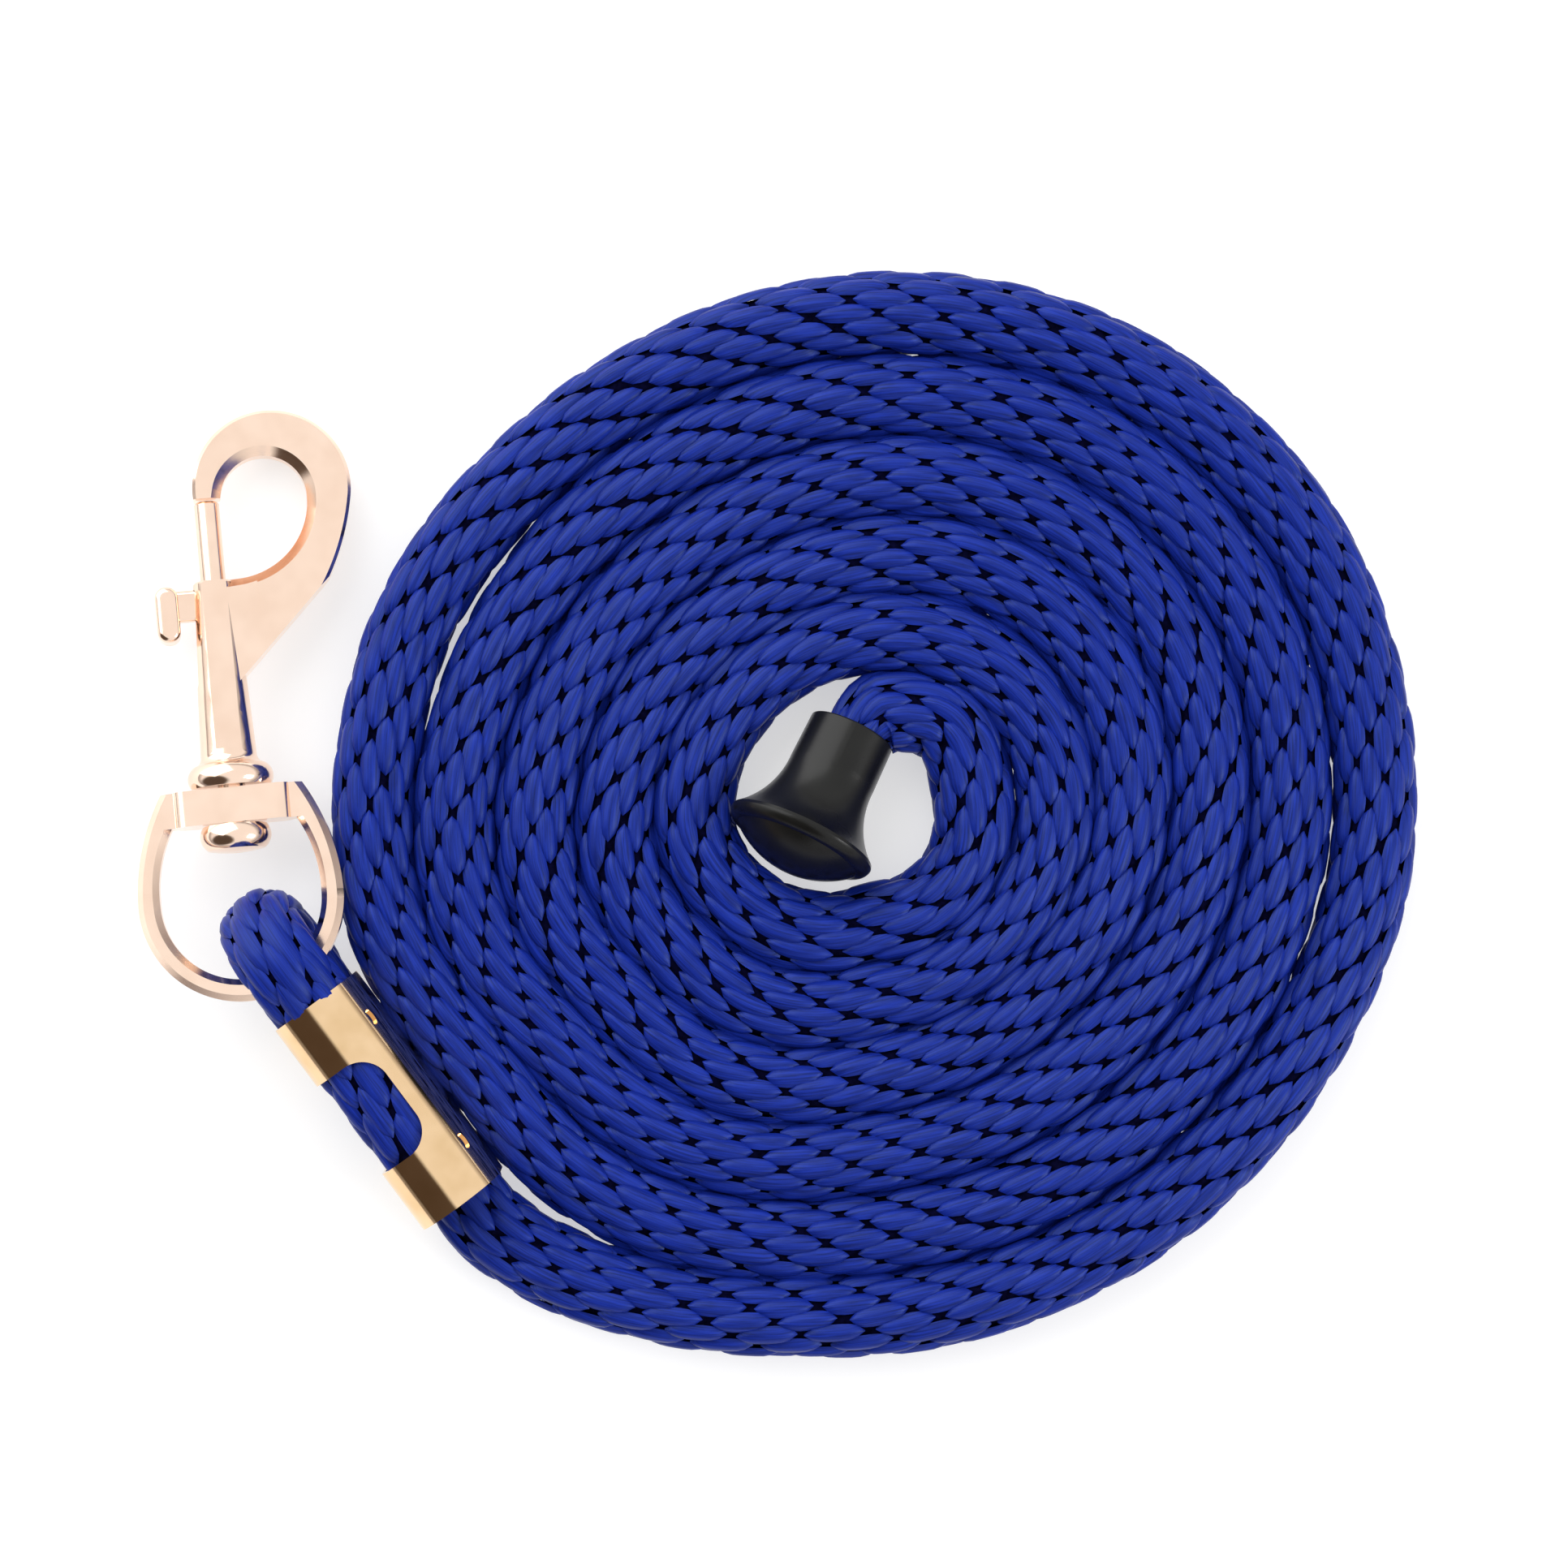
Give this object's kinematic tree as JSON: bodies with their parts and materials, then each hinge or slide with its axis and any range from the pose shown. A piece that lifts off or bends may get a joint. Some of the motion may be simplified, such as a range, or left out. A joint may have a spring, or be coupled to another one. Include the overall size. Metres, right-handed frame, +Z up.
{
  "type": "lead rope",
  "caption": "Coiled solid-braid lead rope with a swivel bolt snap in its clamped eye and a flanged rubber stopper on its other end.",
  "frame": {"origin": "bottom centre of the hardware's bounding box (snap, ring, clamp and stopper), on the surface that the coiled rope lies on", "axes": "+Z up from the surface, +Y from the ring towards the hook's end, +X from the snap towards the coil"},
  "size_m": [0.2432, 0.2066, 0.0323],
  "materials": {
    "rope": "satin",
    "rose_gold": "polished",
    "clamp_gold": "polished",
    "rubber": "satin",
    "spring_steel": "satin"
  },
  "bodies": {
    "rope": {"rope_coil": "rope", "rope_lead": "rope", "rope_loop": "rope", "rope_tip": "rope", "rope_clamp": "clamp_gold", "rope_stopper": "rubber"},
    "ring": {"swivel_ring": "rose_gold"},
    "snap": {"snap_body": "rose_gold", "swivel_stud": "rose_gold", "bolt_spring": "spring_steel"},
    "bolt": {"bolt_pin": "rose_gold", "thumb_knob": "rose_gold"}
  },
  "joints": [
    {"name": "ring_pivot", "type": "hinge", "parent": "rope", "child": "ring", "pos_m": [-0.0415, -0.0294, 0.0161], "axis": [0.8039, 0.5948, 0], "range_deg": [0, 110]},
    {"name": "snap_swivel", "type": "hinge", "parent": "ring", "child": "snap", "pos_m": [-0.05398, 0.00561, 0.01257], "axis": [-0.1006, 0.9902, -0.0972], "continuous": true},
    {"name": "bolt_slide", "type": "slide", "parent": "snap", "child": "bolt", "axis": [0.1006, -0.9902, 0.0972], "range_m": [0, 0.0125], "stiffness_N_per_m": 200, "springref_m": -0.004, "deforming": ["bolt_spring"]}
  ]
}
